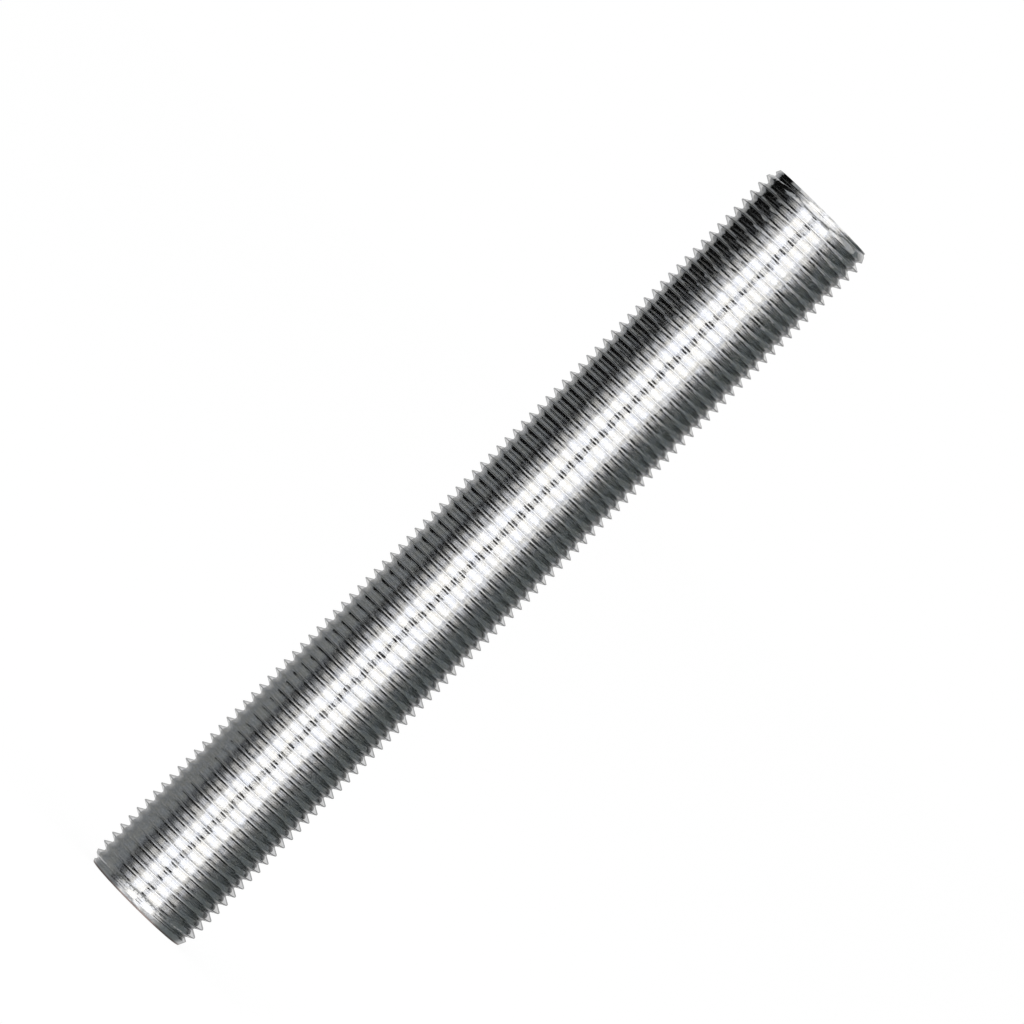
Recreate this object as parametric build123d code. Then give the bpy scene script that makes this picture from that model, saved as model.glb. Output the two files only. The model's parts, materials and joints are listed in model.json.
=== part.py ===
"""Long threaded nipple of half-inch pipe, with a straight pipe thread from end to end.

One piece of steel pipe, turned down to the crests of its thread, chamfered at
both ends so that the thread starts easily, and open right through.  It stands
on its lower end face: the origin is the centre of that face and +Z runs up the
axis.  Millimetres.

The solid is the turned blank: its outside is the cylinder that the thread
crests touch, and the end chamfers run down to the thread root.  The fine
helical groove itself, 1.8 mm from turn to turn, is not cut into the blank.
"""
from build123d import *

import os
from math import radians, tan

# ---- driving dimensions -------------------------------------------------
LENGTH = 152.4              # over both end faces, six inches
MAJOR_DIAMETER = 20.91      # over the thread crests, half-inch straight pipe thread
THREADS_PER_INCH = 14
FLANK_ANGLE = 60.0          # between the two flanks of one groove, degrees
WALL = 2.55                 # from the crests to the bore
CHAMFER_LENGTH = 2.4        # outer chamfer, measured along the axis
END_LAND_RISE = 0.06        # end-face edge above the thread root, on the radius
BORE_BREAK = 0.3            # edge broken at each mouth of the bore

# ---- sizes that follow --------------------------------------------------
INCH = 25.4
PITCH = INCH / THREADS_PER_INCH
SHARP_V_HEIGHT = PITCH / 2 / tan(radians(FLANK_ANGLE / 2))
THREAD_DEPTH = SHARP_V_HEIGHT * 3 / 4           # an eighth is rounded off at crest and root

CREST_RADIUS = MAJOR_DIAMETER / 2
ROOT_RADIUS = CREST_RADIUS - THREAD_DEPTH
BORE_RADIUS = CREST_RADIUS - WALL
END_RADIUS = ROOT_RADIUS + END_LAND_RISE
END_WALL = END_RADIUS - BORE_RADIUS
MOUTH_BREAK = min(BORE_BREAK, END_WALL / 2)     # never wider than half the end land


def half_section():
    """Outline of the wall on one side of the axis, as turned and bored."""
    with BuildSketch(Plane.XZ) as section:
        with BuildLine():
            Polyline(
                (BORE_RADIUS, MOUTH_BREAK),
                (BORE_RADIUS + MOUTH_BREAK, 0),
                (END_RADIUS, 0),
                (CREST_RADIUS, CHAMFER_LENGTH),
                (CREST_RADIUS, LENGTH - CHAMFER_LENGTH),
                (END_RADIUS, LENGTH),
                (BORE_RADIUS + MOUTH_BREAK, LENGTH),
                (BORE_RADIUS, LENGTH - MOUTH_BREAK),
                close=True,
            )
        make_face()
    return section.sketch


def threaded_nipple():
    """The whole nipple, turned about its axis."""
    return revolve(half_section(), Axis.Z)


def main():
    os.makedirs("parts", exist_ok=True)
    nipple = threaded_nipple()
    export_step(nipple, "parts/threaded_nipple.step")
    box = nipple.bounding_box().size
    print(f"pitch {PITCH:.4f} mm, thread depth {THREAD_DEPTH:.3f} mm, bore {2 * BORE_RADIUS:.2f} mm")
    print(f"size {box.X:.3f} x {box.Y:.3f} x {box.Z:.3f} mm, blank volume {nipple.volume:.0f} mm3")


main()
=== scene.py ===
# %% [markdown]
# # A long threaded nipple
# The object is a piece of half-inch steel pipe, threaded from end to end and bright zinc plated.
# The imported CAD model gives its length, its outside and its bore, but it is a plain blank: the
# fine thread isn't in it. This lesson cuts the thread as real geometry, gives the metal its
# three finishes, and sets the piece on a pale floor in soft studio light.
#
# A bright screw thread is hard for one reason only: it is a mirror folded into grooves. Light
# bounces two or three times inside each groove before it leaves, so the thread's form and what
# stands round it in the studio decide the look, and paint decides very little.

import json
from math import cos, hypot, pi, radians, sin, tan

import bmesh
import bpy
from mathutils import Matrix, Vector

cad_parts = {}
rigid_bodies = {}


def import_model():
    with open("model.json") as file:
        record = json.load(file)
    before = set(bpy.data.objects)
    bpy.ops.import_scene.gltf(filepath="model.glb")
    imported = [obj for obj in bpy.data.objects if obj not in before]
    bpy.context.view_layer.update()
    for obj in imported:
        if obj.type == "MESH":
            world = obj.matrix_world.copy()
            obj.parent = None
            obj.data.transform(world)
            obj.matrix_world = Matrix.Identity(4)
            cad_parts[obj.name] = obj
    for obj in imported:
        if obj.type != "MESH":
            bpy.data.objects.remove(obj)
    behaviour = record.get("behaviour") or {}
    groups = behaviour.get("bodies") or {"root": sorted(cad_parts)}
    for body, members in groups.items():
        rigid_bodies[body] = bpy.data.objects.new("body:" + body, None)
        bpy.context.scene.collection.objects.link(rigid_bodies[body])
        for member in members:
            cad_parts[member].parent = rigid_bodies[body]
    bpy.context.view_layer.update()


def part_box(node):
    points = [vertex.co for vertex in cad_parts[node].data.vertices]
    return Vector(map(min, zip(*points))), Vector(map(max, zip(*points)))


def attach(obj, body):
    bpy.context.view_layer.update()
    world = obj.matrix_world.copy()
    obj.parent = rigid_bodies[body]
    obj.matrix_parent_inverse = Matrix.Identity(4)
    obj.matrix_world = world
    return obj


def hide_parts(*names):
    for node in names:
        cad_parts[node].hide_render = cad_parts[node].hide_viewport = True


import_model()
MM = 0.001                          # one millimetre in Blender's metres
NODE = "threaded_nipple"

# %% [markdown]
# ## Sizes of the blank
# Every size of the blank could be typed in again, but then it might drift from the CAD model.
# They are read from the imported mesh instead: its box gives the length and the crest radius, and
# the corners of its outline give the bore, the broken edge at its mouth and the end cone.

# %% Read the blank
low, high = (Vector(corner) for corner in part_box(NODE))
LENGTH = high.z - low.z
CREST_RADIUS = (high.x - low.x) / 2
blank = [(hypot(v.co.x, v.co.y), v.co.z) for v in bpy.data.objects[NODE].data.vertices]
BORE_RADIUS = min(r for r, z in blank)
on_face = [r for r, z in blank if abs(z - low.z) < 0.01 * MM]
END_RADIUS = max(on_face)
MOUTH_BREAK = min(on_face) - BORE_RADIUS
CHAMFER = min(z for r, z in blank if r > CREST_RADIUS - 0.001 * MM) - low.z
print("length %.2f, crest radius %.3f, bore radius %.3f mm" % (
    LENGTH / MM, CREST_RADIUS / MM, BORE_RADIUS / MM))
print("end radius %.3f, mouth break %.3f, chamfer %.3f mm" % (
    END_RADIUS / MM, MOUTH_BREAK / MM, CHAMFER / MM))

# %% [markdown]
# ## The thread's form
# Only the thread's own form is written here. It is the American straight pipe thread: fourteen
# turns to the inch and 60 degrees between the two sides of the groove. The sharp V of that
# angle is three quarters used. A real die leaves its crests and roots a little round, and a
# bright plate shows that as a thin light line along each crest, so the rounds are modelled.

# %% Thread sizes
PITCH = 25.4 / 14 * MM
FLANK_ANGLE = radians(60)           # between the two sides of the groove
SHARP_HEIGHT = PITCH / 2 / tan(FLANK_ANGLE / 2)
DEPTH = SHARP_HEIGHT * 3 / 4
CREST_CUT = 0.07 * PITCH            # how far the rounded crest stays inside its sharp corner
ROOT_CUT = SHARP_HEIGHT - DEPTH - CREST_CUT
FIRST_CREST = 0.75 * MM             # height of the lowest crest, on the +X side
print("pitch %.4f, depth %.4f mm" % (PITCH / MM, DEPTH / MM))

# %% [markdown]
# ## Camera
# A short lens close by would make one end of so long a piece look thicker than the other. A
# long lens from well back keeps both ends the same size. The nipple stands on its end, and the
# camera is rolled, so that the axis runs up from the lower left to the upper right.

# %% Camera
CAMERA_PLACE = Vector((0.0, -1.60, 0.107))
CAMERA_AIM = Vector((-0.0014, 0.0, 0.0849))
AXIS_SLOPE = radians(45.15)         # how the axis of the nipple runs in the frame
LENS = 359.65                       # millimetres, for a sensor 36 millimetres wide
view_line = (CAMERA_AIM - CAMERA_PLACE).normalized()
to_right = Vector((sin(AXIS_SLOPE), 0, cos(AXIS_SLOPE)))
to_right = (to_right - view_line * to_right.dot(view_line)).normalized()
to_top = to_right.cross(view_line)
camera_data = bpy.data.cameras.new("camera")
camera_data.sensor_width = 36
camera_data.lens = LENS
camera = bpy.data.objects.new("camera", camera_data)
bpy.context.scene.collection.objects.link(camera)
turn = Matrix((to_right, to_top, -view_line)).transposed().to_4x4()
camera.matrix_world = Matrix.Translation(CAMERA_PLACE) @ turn
bpy.context.scene.camera = camera
print("camera", tuple(round(c, 3) for c in CAMERA_PLACE))

# %% [markdown]
# ## One pitch of the outline
# A die cuts one groove that runs round the pipe like a spring. It could be faked with bump on
# a smooth tube, but the edge of the tube would stay straight, and a bump has no room in it for
# light to bounce about. So it is geometry, and it starts as one pitch of the sharp V.
#
# The corners are rounded in two steps. The first bevel, of one segment, cuts the tip off at
# the right depth. The second rounds the two corners that this leaves, and because it reaches
# almost to the middle of the cut, the two rounds join in one true arc.

# %% Outline from root to root, with round corners
ROUND_STEPS = 3                     # on each side of a crest or root
ROUND_REACH = 0.999                 # of the way to the middle, so that the two never cross
sharp_crest = CREST_RADIUS + CREST_CUT
sharp_root = sharp_crest - SHARP_HEIGHT
thread = bmesh.new()
zigzag = [thread.verts.new((radius, 0, step * PITCH / 2)) for step, radius in (
    (-2, sharp_root), (-1, sharp_crest), (0, sharp_root), (1, sharp_crest), (2, sharp_root))]
for start, end in zip(zigzag, zigzag[1:]):
    thread.edges.new((start, end))
for tips, cut in (((zigzag[1], zigzag[3]), CREST_CUT), ((zigzag[2],), ROOT_CUT)):
    flats = bmesh.ops.bevel(thread, geom=tips, offset=cut / cos(FLANK_ANGLE / 2),
                            offset_type="OFFSET", segments=1, profile=0.5,
                            affect="VERTICES", material=-1)
    reach = ROUND_REACH * cut * tan(FLANK_ANGLE / 2)
    bmesh.ops.bevel(thread, geom=flats["verts"], offset=reach, offset_type="OFFSET",
                    segments=ROUND_STEPS, profile=0.5, affect="VERTICES", material=-1)
outside = [v for v in thread.verts if abs(v.co.z) > PITCH / 2 + 0.001 * MM]
bmesh.ops.delete(thread, geom=outside, context="VERTS")
radii = [v.co.x / MM for v in thread.verts]
print("outline of %d points, radius %.3f to %.3f mm" % (len(radii), min(radii), max(radii)))

# %% [markdown]
# ## Turns of the thread
# Spin can carry the outline all the way up in one call, but each step of it searches what is
# already there, so 86 turns take minutes. One turn is quick. It climbs exactly one pitch, so
# a copy set one pitch higher joins on without a seam, and doubling the stack seven times gives
# more turns than are needed. The spare ones are cut off straight after.

# %% One turn, then the stack of turns
TURN_STEPS = 72
MERGE = 0.002 * MM                  # points closer than this are one point
bmesh.ops.spin(thread, geom=thread.verts[:] + thread.edges[:], cent=(0, 0, 0), axis=(0, 0, 1),
               dvec=(0, 0, PITCH / TURN_STEPS), angle=2 * pi, steps=TURN_STEPS)
bmesh.ops.remove_doubles(thread, verts=thread.verts[:], dist=MERGE)
turns = 1
while turns * PITCH < LENGTH + 6 * PITCH:
    copy = bmesh.ops.duplicate(thread, geom=thread.faces[:])["geom"]
    copied = [item for item in copy if isinstance(item, bmesh.types.BMVert)]
    bmesh.ops.translate(thread, verts=copied, vec=(0, 0, turns * PITCH))
    bmesh.ops.remove_doubles(thread, verts=thread.verts[:], dist=MERGE)
    turns *= 2
stack_foot = FIRST_CREST - 3 * PITCH        # the lowest crest of the stack, on the +X side
bmesh.ops.translate(thread, verts=thread.verts[:], vec=(0, 0, stack_foot + PITCH / 2))
print("%d turns, %d faces" % (turns, len(thread.faces)))

# %% [markdown]
# ## Ends of the rod
# The stack is open at both ends, and a Boolean needs a closed shell. A plane across each end,
# one pitch beyond the finished length, cuts the spare turns off. What is left there is one
# flat rim, which a single face can close.

# %% Trim the spare turns and close the two ends
for height, side in ((-PITCH, -1), (LENGTH + PITCH, 1)):
    everything = thread.verts[:] + thread.edges[:] + thread.faces[:]
    bmesh.ops.bisect_plane(thread, geom=everything, dist=0.0001 * MM, plane_co=(0, 0, height),
                           plane_no=(0, 0, side), clear_outer=True)
    rim = [e for e in thread.edges if e.is_boundary]
    rim = [e for e in rim if abs(e.verts[0].co.z - height) < 0.01 * MM]
    bmesh.ops.holes_fill(thread, edges=rim, sides=0)
bmesh.ops.recalc_face_normals(thread, faces=thread.faces[:])
for face in thread.faces:
    face.smooth = True
open_edges = sum(1 for e in thread.edges if not e.is_manifold)
print("rod of %d faces, %d open edges" % (len(thread.faces), open_edges))

# %% [markdown]
# ## The lathe's cuts
# The saw and the lathe leave flat end faces, a cone that runs out through the first threads,
# and the bore. Each could be cut on its own. All of them are one turned outline, though, so
# one closed ring is spun round the axis, and what it holds of the rod is kept.

# %% The turned outline
SPARE = 0.5 * MM                    # the cone is carried on past the crests
cone_run = CHAMFER / (CREST_RADIUS - END_RADIUS)
past_crest = CREST_RADIUS + SPARE
cone_top = (past_crest - END_RADIUS) * cone_run
mouth = BORE_RADIUS + MOUTH_BREAK
outline = (
    (BORE_RADIUS, MOUTH_BREAK), (mouth, 0), (END_RADIUS, 0), (past_crest, cone_top),
    (past_crest, LENGTH - cone_top), (END_RADIUS, LENGTH), (mouth, LENGTH),
    (BORE_RADIUS, LENGTH - MOUTH_BREAK))
lathe = bmesh.new()
ring = [lathe.verts.new((radius, 0, height)) for radius, height in outline]
for start, end in zip(ring, ring[1:] + ring[:1]):
    lathe.edges.new((start, end))
bmesh.ops.spin(lathe, geom=lathe.verts[:] + lathe.edges[:], cent=(0, 0, 0), axis=(0, 0, 1),
               angle=2 * pi, steps=2 * TURN_STEPS, use_merge=True)
bmesh.ops.recalc_face_normals(lathe, faces=lathe.faces[:])
for face in lathe.faces:
    face.smooth = True
print("turned outline of %d faces" % len(lathe.faces))

# %% [markdown]
# ## Helpers for the finishes
# Colours are written as a designer writes them, in sRGB hex, and turned to the linear values
# that the renderer works in. A shader tree is long to build by hand, so one function adds a
# node with its settings and its links, and returns its first output to plug in elsewhere.

# %% Colour and node helpers
def hex_colour(text):
    parts = [int(text[i:i + 2], 16) / 255 for i in (1, 3, 5)]
    return [c / 12.92 if c <= 0.04045 else ((c + 0.055) / 1.055) ** 2.4 for c in parts] + [1.0]


def add_node(tree, kind, links=None, **settings):
    made = tree.nodes.new("ShaderNode" + kind)
    for name, value in settings.items():
        setattr(made, name, value)
    for socket, value in (links or {}).items():
        if isinstance(value, bpy.types.NodeSocket):
            tree.links.new(value, made.inputs[socket])
        else:
            made.inputs[socket].default_value = value
    return made.outputs[0] if made.outputs else made


def new_material(name):
    material = bpy.data.materials.new(name)
    material.use_nodes = True
    material.node_tree.nodes.clear()
    return material, material.node_tree


print("middle grey reads", [round(c, 3) for c in hex_colour("#808080")])

# %% [markdown]
# ## Finish of the thread: bright zinc plate over die-cut steel
# The die drags along the groove and leaves fine marks that run with it, and a little chatter
# across them. The bath then lays a bright plate over all of it, which keeps the marks but
# softens them. To the eye that is a mirror with a faint grain along the thread.
#
# An image could carry the marks, but it would have to be unwrapped along a spiral 5.5 metres
# long. Three lengths worked out from the Object coordinates do the same: the distance run
# along the groove, the distance across one pitch, and the radius. Noise that reads them
# follows the groove by itself.

# %% Lengths along and across the groove
TURN_LENGTH = 2 * pi * CREST_RADIUS
plated, tree = new_material("zinc_plated_die_cut_steel")
place = add_node(tree, "TexCoord").node.outputs["Object"]
x, y, z = add_node(tree, "SeparateXYZ", {0: place}).node.outputs
turn = add_node(tree, "Math", {0: y, 1: x}, operation="ARCTAN2")
turn = add_node(tree, "Math", {0: turn, 1: 2 * pi}, operation="DIVIDE")
rise = add_node(tree, "Math", {0: z, 1: 1 / PITCH, 2: -FIRST_CREST / PITCH},
                operation="MULTIPLY_ADD")
rise = add_node(tree, "Math", {0: rise, 1: turn}, operation="SUBTRACT")
whole = add_node(tree, "Math", {0: rise}, operation="FLOOR")
share = add_node(tree, "Math", {0: rise, 1: whole}, operation="SUBTRACT")
run = add_node(tree, "Math", {0: turn, 1: whole}, operation="ADD")
run = add_node(tree, "Math", {0: run, 1: TURN_LENGTH / MM}, operation="MULTIPLY")
across = add_node(tree, "Math", {0: share, 1: PITCH / MM}, operation="MULTIPLY")
flat = add_node(tree, "CombineXYZ", {0: x, 1: y})
radius = add_node(tree, "VectorMath", {0: flat}, operation="LENGTH").node.outputs["Value"]
radius = add_node(tree, "Math", {0: radius, 1: 1 / MM}, operation="MULTIPLY")
print("the groove is %.2f m long" % (LENGTH / PITCH * TURN_LENGTH))

# %% [markdown]
# The relief adds up four things: the die's marks, the chatter across them, the plate's own
# grain, and slow waves where the bath laid more metal or less. The real ones are so fine that
# they would vanish at this size, so they are drawn coarser, and the waves also taller. Even so
# they are far too low for geometry, so they are bump. The waves are by far the longest and
# bend a reflection gently, while the short marks break it up.

# %% Marks of the die, and the relief they leave under the plate
MICRON = 0.001 * MM
DIE_MARK = 0.30                     # millimetres between die marks, coarser than the real 0.05
STREAK_LENGTH = 20                  # a die mark is about twenty times as long as it is wide
CHATTER = 0.55                      # millimetres from one chatter mark to the next
PLATE_GRAIN = 0.25 * MM             # the plate's grain, coarser than the real 0.02 mm
PLATE_WAVE = 2.4 * MM
MARK_RELIEF = 5.0                   # this relief and the next three are in microns
CHATTER_RELIEF = 5.0
GRAIN_RELIEF = 1.2
WAVE_RELIEF = 60.0
short_run = add_node(tree, "Math", {0: run, 1: STREAK_LENGTH}, operation="DIVIDE")
streak_space = add_node(tree, "CombineXYZ", {0: short_run, 1: across, 2: radius})
streaks = add_node(tree, "TexNoise", {"Vector": streak_space, "Scale": 1 / DIE_MARK,
                                      "Detail": 2.0, "Roughness": 0.6})
chatter_space = add_node(tree, "CombineXYZ", {0: run, 1: across, 2: radius})
chatter = add_node(tree, "TexNoise", {"Vector": chatter_space, "Scale": 1 / CHATTER,
                                      "Detail": 2.0})
grain = add_node(tree, "TexNoise", {"Vector": place, "Scale": 1 / PLATE_GRAIN, "Detail": 2.0})
squeezed = add_node(tree, "Mapping", {"Vector": place, "Scale": (1, 1, 2.2)})
waves = add_node(tree, "TexNoise", {"Vector": squeezed, "Scale": 1 / PLATE_WAVE, "Detail": 1.0})
height = add_node(tree, "Math", {0: streaks, 1: MARK_RELIEF}, operation="MULTIPLY")
for noise, amount in ((chatter, CHATTER_RELIEF), (grain, GRAIN_RELIEF), (waves, WAVE_RELIEF)):
    height = add_node(tree, "Math", {0: noise, 1: amount, 2: height},
                      operation="MULTIPLY_ADD")
relief = add_node(tree, "Bump", {"Height": height, "Strength": 1.0, "Distance": MICRON})
print("relief in microns:", MARK_RELIEF, CHATTER_RELIEF, GRAIN_RELIEF, WAVE_RELIEF)

# %% [markdown]
# Relief alone looks too clean. A real plate has duller specks where it is thin, its brightness
# changes a little from mark to mark, and its white leans now to blue and now to straw. At the
# very rim of the end it stands on the plate is worn, and the steel shows pinkish grey and dull.

# %% Gloss and colour of the plate
RIM_WEAR = 0.35 * MM
PLATE_PATCH = 1.3 * MM              # from a bluer patch to a straw one
gloss = add_node(tree, "MapRange", {"Value": streaks, "From Min": 0.3, "From Max": 0.7,
                                    "To Min": 0.05, "To Max": 0.10})
dull = add_node(tree, "MapRange", {"Value": grain, "From Min": 0.56, "From Max": 0.68,
                                   "To Min": 0.0, "To Max": 0.16})
gloss = add_node(tree, "Math", {0: gloss, 1: dull}, operation="ADD")
speck = add_node(tree, "MapRange", {"Value": grain, "From Min": 0.36, "From Max": 0.64,
                                    "To Min": 0.82, "To Max": 1.0})
line = add_node(tree, "MapRange", {"Value": streaks, "From Min": 0.35, "From Max": 0.65,
                                   "To Min": 0.92, "To Max": 1.0})
level = add_node(tree, "Math", {0: speck, 1: line}, operation="MULTIPLY")
patches = add_node(tree, "TexNoise", {"Vector": place, "Scale": 1 / PLATE_PATCH,
                                      "Detail": 2.0})
hue = add_node(tree, "ValToRGB", {0: patches})
hue.node.color_ramp.elements[0].color = hex_colour("#FAFBFE")
hue.node.color_ramp.elements[0].position = 0.42
hue.node.color_ramp.elements[1].color = hex_colour("#FDFCFA")
hue.node.color_ramp.elements[1].position = 0.58
tint = add_node(tree, "VectorMath", {0: hue, "Scale": level}, operation="SCALE")
at_rim = add_node(tree, "MapRange", {"Value": z, "From Min": RIM_WEAR,
                                     "From Max": RIM_WEAR / 2})
tint = add_node(tree, "Mix", {0: at_rim, 6: tint, 7: hex_colour("#AD9C98")}, data_type="RGBA")
gloss = add_node(tree, "MapRange", {"Value": at_rim, "To Min": gloss, "To Max": 0.3})
shader = add_node(tree, "BsdfPrincipled", {
    "Base Color": tint.node.outputs[2], "Metallic": 1.0, "Roughness": gloss, "Normal": relief})
add_node(tree, "OutputMaterial", {"Surface": shader})
print("finish:", plated.name)

# %% [markdown]
# ## Finish of the end faces: zinc plate over faced steel
# A lathe tool that feeds across an end face leaves rings round the axis. Noise that reads only
# the radius gives such rings, with no two alike. They are duller than the thread, so the face
# looks satin, and it glints in an arc when the light crosses the rings.

# %% Faced end
RING = 0.15 * MM                    # between tool marks, as on an ordinary faced end
MOTTLE = 0.4 * MM                   # between the clouds in the satin
faced, tree = new_material("zinc_plated_faced_steel")
place = add_node(tree, "TexCoord").node.outputs["Object"]
x, y, z = add_node(tree, "SeparateXYZ", {0: place}).node.outputs
flat = add_node(tree, "CombineXYZ", {0: x, 1: y})
radius = add_node(tree, "VectorMath", {0: flat}, operation="LENGTH").node.outputs["Value"]
ring_space = add_node(tree, "CombineXYZ", {0: radius, 1: z})
rings = add_node(tree, "TexNoise", {"Vector": ring_space, "Scale": 1 / RING, "Detail": 1.0})
mottle = add_node(tree, "TexNoise", {"Vector": place, "Scale": 1 / MOTTLE, "Detail": 2.0})
height = add_node(tree, "Math", {0: mottle, 1: 0.4, 2: rings}, operation="MULTIPLY_ADD")
relief = add_node(tree, "Bump", {"Height": height, "Distance": 4 * MICRON})
gloss = add_node(tree, "MapRange", {"Value": rings, "From Min": 0.3, "From Max": 0.7,
                                    "To Min": 0.18, "To Max": 0.34})
tint = add_node(tree, "ValToRGB", {0: mottle})
tint.node.color_ramp.elements[0].color = hex_colour("#C9C6C4")
tint.node.color_ramp.elements[1].color = hex_colour("#E2DEDB")
shader = add_node(tree, "BsdfPrincipled", {
    "Base Color": tint, "Metallic": 1.0, "Roughness": gloss, "Normal": relief})
add_node(tree, "OutputMaterial", {"Surface": shader})
print("finish:", faced.name)

# %% [markdown]
# ## Finish of the bore: thin zinc plate over drawn pipe
# The bore was never machined. It keeps the long marks of the drawing bench and a fine mill
# scale under the plate, and the bath throws little metal into a pipe. So it is a dull grey
# that goes dark with depth. Noise stretched along the axis makes marks that are long and thin.

# %% Drawn bore
DRAW_MARK = 0.3 * MM                # between draw marks, coarser than the real 0.1 mm
DRAW_STRETCH = 0.04                 # a draw mark is twenty-five times as long as it is wide
SCALE_PATCH = 1.5 * MM              # from one patch of mill scale to the next
drawn, tree = new_material("zinc_plated_drawn_bore")
place = add_node(tree, "TexCoord").node.outputs["Object"]
drawn_out = add_node(tree, "Mapping", {"Vector": place, "Scale": (1, 1, DRAW_STRETCH)})
draw_marks = add_node(tree, "TexNoise", {"Vector": drawn_out, "Scale": 1 / DRAW_MARK,
                                         "Detail": 2.0})
scale = add_node(tree, "TexNoise", {"Vector": place, "Scale": 1 / SCALE_PATCH, "Detail": 3.0})
height = add_node(tree, "Math", {0: scale, 1: 1.5, 2: draw_marks}, operation="MULTIPLY_ADD")
relief = add_node(tree, "Bump", {"Height": height, "Distance": 10 * MICRON})
gloss = add_node(tree, "MapRange", {"Value": scale, "From Min": 0.3, "From Max": 0.7,
                                    "To Min": 0.32, "To Max": 0.5})
tint = add_node(tree, "ValToRGB", {0: scale})
tint.node.color_ramp.elements[0].color = hex_colour("#8E9092")
tint.node.color_ramp.elements[1].color = hex_colour("#B4B5B4")
shader = add_node(tree, "BsdfPrincipled", {
    "Base Color": tint, "Metallic": 1.0, "Roughness": gloss, "Normal": relief})
add_node(tree, "OutputMaterial", {"Surface": shader})
print("finish:", drawn.name)

# %% [markdown]
# ## Cutting the rod
# A Boolean keeps what the rod and the turned outline share. The faces that the lathe cuts get
# their finishes from the cutter: the Boolean copies the material of the surface that made each
# new face, so the cutter's end faces and bore are painted before the cut.


# %% Paint the cutter
def mesh_object(name, mesh_edit):
    data = bpy.data.meshes.new(name)
    mesh_edit.to_mesh(data)
    mesh_edit.free()
    made = bpy.data.objects.new(name, data)
    bpy.context.scene.collection.objects.link(made)
    return made


for face in lathe.faces:
    middle = face.calc_center_median()
    if abs(face.normal.z) > 0.95:
        face.material_index = 1
    elif hypot(middle.x, middle.y) < (BORE_RADIUS + END_RADIUS) / 2:
        face.material_index = 2
cutter = mesh_object("lathe_cutter", lathe)
rod = mesh_object("thread_rod", thread)
for material in (plated, faced, drawn):
    cutter.data.materials.append(material)
    rod.data.materials.append(material)
print("cutter painted:", cutter.name, "for", rod.name)


# %% Cut
def applied(source, name):
    view_layer = bpy.context.evaluated_depsgraph_get()
    data = bpy.data.meshes.new_from_object(source.evaluated_get(view_layer))
    data.name = name
    return data


SHARP_EDGE = radians(35)            # a corner that bends more than this is left crisp
cut = rod.modifiers.new("lathe", "BOOLEAN")
cut.operation = "INTERSECT"
cut.solver = "MANIFOLD"
cut.object = cutter
cut_mesh = applied(rod, "threaded_body")
cut_mesh.set_sharp_from_angle(angle=SHARP_EDGE)
rod.modifiers.remove(cut)
rod.data = cut_mesh
print("cut to %d faces" % len(cut_mesh.polygons))

# %% [markdown]
# ## True flanks
# Smooth shading blends the normals of the faces that meet at a corner, so the rounds pull the
# flat flanks of the groove out of true. A small error there spoils the look, because three
# bounces make it up to six times as large. Weighted Normal hands the corners to the widest
# faces, the flanks, and leaves the bending to the rounds.

# %% Weighted normals, and the finished piece
weigh = rod.modifiers.new("true_flanks", "WEIGHTED_NORMAL")
weigh.keep_sharp = True
weigh.weight = 100                  # the widest face decides
weigh.thresh = 0.01 * MM ** 2       # faces whose areas are closer than this count alike
body_mesh = applied(rod, "threaded_body")
body = bpy.data.objects.new("threaded_body", body_mesh)
bpy.context.scene.collection.objects.link(body)
bpy.data.objects.remove(rod)
bpy.data.objects.remove(cutter)
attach(body, "root")
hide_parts(NODE)
triangles = sum(len(p.vertices) - 2 for p in body_mesh.polygons)
print("threaded body: %d faces, %d triangles, materials %s" % (
    len(body_mesh.polygons), triangles, [m.name for m in body_mesh.materials]))

# %% [markdown]
# ## White room
# The world is the white room round the set. Where it is looked at, straight or in bright
# metal, its strength is 1, which is white. As a light it would be too strong at that level,
# so every other ray gets about half of it. Light Path tells the two kinds of ray apart.


# %% World
def seen_directly(tree):
    """1 for rays that see a surface itself, straight or in bright metal, and 0 for the rest."""
    path = add_node(tree, "LightPath").node.outputs
    seen = add_node(tree, "Math", {0: path["Is Camera Ray"], 1: path["Is Glossy Ray"]},
                    operation="MAXIMUM")
    return add_node(tree, "Math", {0: seen, 1: path["Is Transmission Ray"]},
                    operation="MAXIMUM")


WHITE = hex_colour("#FFFFFF")
ROOM_LIGHT = 0.55                   # the world's strength as a light
world = bpy.data.worlds.new("white_room")
bpy.context.scene.world = world
world.use_nodes = True
tree = world.node_tree
tree.nodes.clear()
strength = add_node(tree, "MapRange", {"Value": seen_directly(tree), "To Min": ROOM_LIGHT})
room = add_node(tree, "Background", {"Color": WHITE, "Strength": strength})
add_node(tree, "OutputWorld", {"Surface": room})
print("world:", world.name)

# %% [markdown]
# ## Floor
# The floor is matt white paper. Paper alone would look grey beside the white room, and more
# light on it would also burn out the metal. So the paper that is looked at glows just under
# white and adds a little of the light that falls on it, which keeps the nipple's soft shadow.

# %% Floor
FLOOR_REACH = 20                    # metres from the middle to each side
PAPER_GLOW = 0.91                   # where 1 is white
SHADOW_SHARE = (0.16, 0.16, 0.16, 1)
floor_edit = bmesh.new()
bmesh.ops.create_grid(floor_edit, x_segments=1, y_segments=1, size=FLOOR_REACH)
floor = mesh_object("floor", floor_edit)
paper, tree = new_material("white_paper_floor")
plain = add_node(tree, "BsdfDiffuse", {"Color": hex_colour("#E6E6E6")})
glow = add_node(tree, "Emission", {"Color": WHITE, "Strength": PAPER_GLOW})
shade = add_node(tree, "BsdfDiffuse", {"Color": SHADOW_SHARE})
white = add_node(tree, "AddShader", {0: glow, 1: shade})
surface = add_node(tree, "MixShader", {0: seen_directly(tree), 1: plain, 2: white})
add_node(tree, "OutputMaterial", {"Surface": surface})
floor.data.materials.append(paper)
floor.visible_glossy = False        # the metal shows the surround from end to end instead
print("floor:", paper.name)

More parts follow.
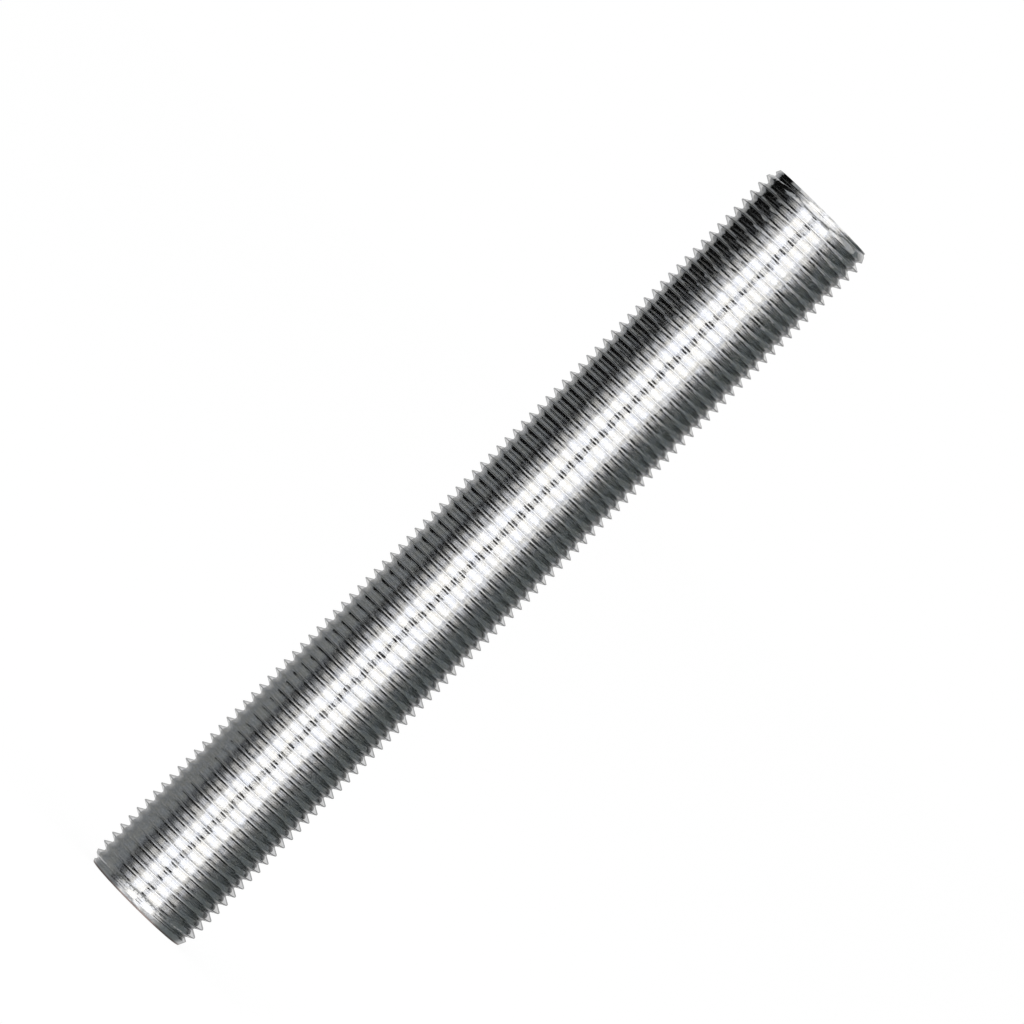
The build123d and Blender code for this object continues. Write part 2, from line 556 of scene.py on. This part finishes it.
# %% [markdown]
# ## Surround
# Bright metal is drawn by what it mirrors, and in a room that is white all round it would
# vanish. A product studio therefore hangs grey and black cloth beside the set, and the white
# front between the cloths becomes the bright band along the piece. Here a far sphere stands
# for all of it, and only mirror rays see it. Cloth is matt, so it has a tone and no glint.
#
# The grooves send light back the way it came, but only near eye level, so the cloth at eye
# level is seen in thin lines beside every crest. It has its own row of tones, darker than the
# rest. Both rows are written as an angle from the camera towards +X, with a tone for each.

# %% Tones of the surround
SURROUND_RADIUS = 6.0
LOW_BAND = 11                       # degrees above and below eye level
CLOTH = ((-180, "#E6E6E6"), (-158, "#C4C4C4"), (-140, "#7A7C7C"), (-108, "#828484"),
         (-72, "#707274"), (-63, "#8E9090"), (-55, "#E2E2E2"), (-47, "#FFFFFF"),
         (47, "#FFFFFF"), (56, "#F6F6F6"), (64, "#B0B0B0"), (71, "#8A8C8C"), (84, "#6E7272"),
         (110, "#5E6464"), (135, "#686C6C"), (150, "#A8A8A8"), (172, "#DCDCDC"))
EYE_LEVEL_CLOTH = ((-180, "#B4B4B4"), (-125, "#707272"), (-86, "#767A7A"), (-76, "#101010"),
                   (-41, "#141414"), (-30, "#FFFFFF"), (38, "#FFFFFF"), (44, "#141414"),
                   (72, "#181A1A"), (84, "#3C4040"), (96, "#303232"), (106, "#101212"),
                   (124, "#141616"), (142, "#303232"), (166, "#A0A0A0"))
cloth, tree = new_material("grey_cloth_surround")
place = add_node(tree, "TexCoord").node.outputs["Object"]
x, y, z = add_node(tree, "SeparateXYZ", {0: place}).node.outputs
away = add_node(tree, "Math", {0: y, 1: -1.0}, operation="MULTIPLY")
angle = add_node(tree, "Math", {0: x, 1: away}, operation="ARCTAN2")
angle = add_node(tree, "Math", {0: angle, 1: 1 / (2 * pi), 2: 0.5}, operation="MULTIPLY_ADD")
tones = []
for row in (CLOTH, EYE_LEVEL_CLOTH):
    ramp = add_node(tree, "ValToRGB", {0: angle}).node
    stops = ramp.color_ramp.elements
    for stop, (degree, colour) in ((stops[0], row[0]), (stops[1], row[-1])):
        stop.position = degree / 360 + 0.5
        stop.color = hex_colour(colour)
    for degree, colour in row[1:-1]:
        stops.new(degree / 360 + 0.5).color = hex_colour(colour)
    tones.append(ramp.outputs[0])
print("tones round the set:", [len(row) for row in (CLOTH, EYE_LEVEL_CLOTH)])

# %% [markdown]
# Up and down the sphere the tones change in bands: the eye-level row, then the main row, then
# a darker grey overhead, and white at the very top. The sides of the grooves look up and down
# as well as round, so below eye level the same bands are repeated the other way up.

# %% Bands of the surround, from eye level to straight up and straight down
OVERHEAD = "#4A4C4C"
OVERHEAD_START, OVERHEAD_FULL = 45, 62      # degrees above eye level
CROWN_START, CROWN_FULL = 63, 72
climb = add_node(tree, "Math", {0: z, 1: 1 / SURROUND_RADIUS}, operation="MULTIPLY")
climb = add_node(tree, "Math", {0: climb}, operation="ARCSINE")
climb = add_node(tree, "Math", {0: climb}, operation="ABSOLUTE")
tone = tones[1]
for start, end, next_tone in ((LOW_BAND - 2, LOW_BAND + 2, tones[0]),
                              (OVERHEAD_START, OVERHEAD_FULL, hex_colour(OVERHEAD)),
                              (CROWN_START, CROWN_FULL, WHITE)):
    step = add_node(tree, "MapRange", {"Value": climb, "From Min": radians(start),
                                       "From Max": radians(end)})
    mixed = add_node(tree, "Mix", {0: step, 6: tone, 7: next_tone}, data_type="RGBA")
    tone = mixed.node.outputs[2]
glow = add_node(tree, "Emission", {"Color": tone})
add_node(tree, "OutputMaterial", {"Surface": glow})


def only_in_reflections(thing):
    thing.visible_camera = False
    thing.visible_diffuse = False
    thing.visible_shadow = False
    thing.visible_transmission = False


tent_edit = bmesh.new()
bmesh.ops.create_uvsphere(tent_edit, u_segments=96, v_segments=48, radius=SURROUND_RADIUS)
tent = mesh_object("surround", tent_edit)
tent.data.materials.append(cloth)
only_in_reflections(tent)
print("surround of radius", SURROUND_RADIUS, "m")

# %% [markdown]
# ## Cards
# The camera itself stands in the middle of the white front, and the metal shows it as a row of
# dark spots down the bright band. A card does its part, since Blender's camera has no body.
# The other cards stand close to the upper half only, propped up beside it as in any studio.
# They give that half a deeper black on one side and a softer grey on the other, and a white
# one in front keeps the bright band wide there.


# %% Card helper
def add_card(name, start, end, colour, low_edge, high_edge, distance):
    """An upright curved card from one angle to another, counted from the camera towards +X."""
    edit = bmesh.new()
    foot = radians(start - 90)
    side = [edit.verts.new((distance * cos(foot), distance * sin(foot), height))
            for height in (low_edge, high_edge)]
    edit.edges.new(side)
    bmesh.ops.spin(edit, geom=edit.verts[:] + edit.edges[:], cent=(0, 0, 0), axis=(0, 0, 1),
                   angle=radians(end - start), steps=max(2, round((end - start) / 3)))
    card = mesh_object(name, edit)
    paint, tree = new_material(name + "_paint")
    glow = add_node(tree, "Emission", {"Color": hex_colour(colour)})
    add_node(tree, "OutputMaterial", {"Surface": glow})
    card.data.materials.append(paint)
    only_in_reflections(card)


# %% Cards
NEAR = 0.13                         # how close the cards at the upper half stand, in metres
TOP_CARDS = ((-140, -95, "#0A0A0A"), (-95, -72, "#989A9A"), (-72, -52, "#D4D4D4"),
             (44, 66, "#FAFAFA"), (66, 82, "#CECECE"), (82, 125, "#A4A6A6"))
add_card("camera_card", -7.5, 7, "#080808", low_edge=-0.17, high_edge=0.25, distance=1.3)
add_card("side_card", -135, -68, "#0A0A0A", low_edge=0.100, high_edge=0.225, distance=NEAR)
add_card("front_card", 36, 46, "#F0F0F0", low_edge=0.050, high_edge=0.200, distance=NEAR)
for number, (start, end, colour) in enumerate(TOP_CARDS, 1):
    add_card("top_card_%d" % number, start, end, colour, low_edge=0.225, high_edge=0.38,
             distance=NEAR)

# %% [markdown]
# ## Window light
# One wide soft window stands behind the camera. In a mirror it lays a brighter strip over the
# white front, and on everything matt it is the main light. Its level says how bright the
# window itself looks, where 1 is white, and the lamp's power follows from its size.

# %% Window light
WINDOW_DISTANCE = 1.38
WINDOW_SPREAD = (-31, 36)           # degrees from the camera, as the nipple sees it
WINDOW_HEIGHT = 3.6
WINDOW_LEVEL = 0.45
edges = [WINDOW_DISTANCE * tan(radians(side)) for side in WINDOW_SPREAD]
window_data = bpy.data.lights.new("window", "AREA")
window_data.shape = "RECTANGLE"
window_data.size = edges[1] - edges[0]
window_data.size_y = WINDOW_HEIGHT
window_data.energy = WINDOW_LEVEL * pi * window_data.size * window_data.size_y
window = bpy.data.objects.new("window", window_data)
window.location = ((edges[0] + edges[1]) / 2, -WINDOW_DISTANCE, 0)
window.rotation_euler = (radians(90), 0, 0)
window.visible_camera = False
bpy.context.scene.collection.objects.link(window)
bpy.context.scene.view_settings.view_transform = "Standard"
print("window %.2f m wide, %.1f W" % (window_data.size, window_data.energy))
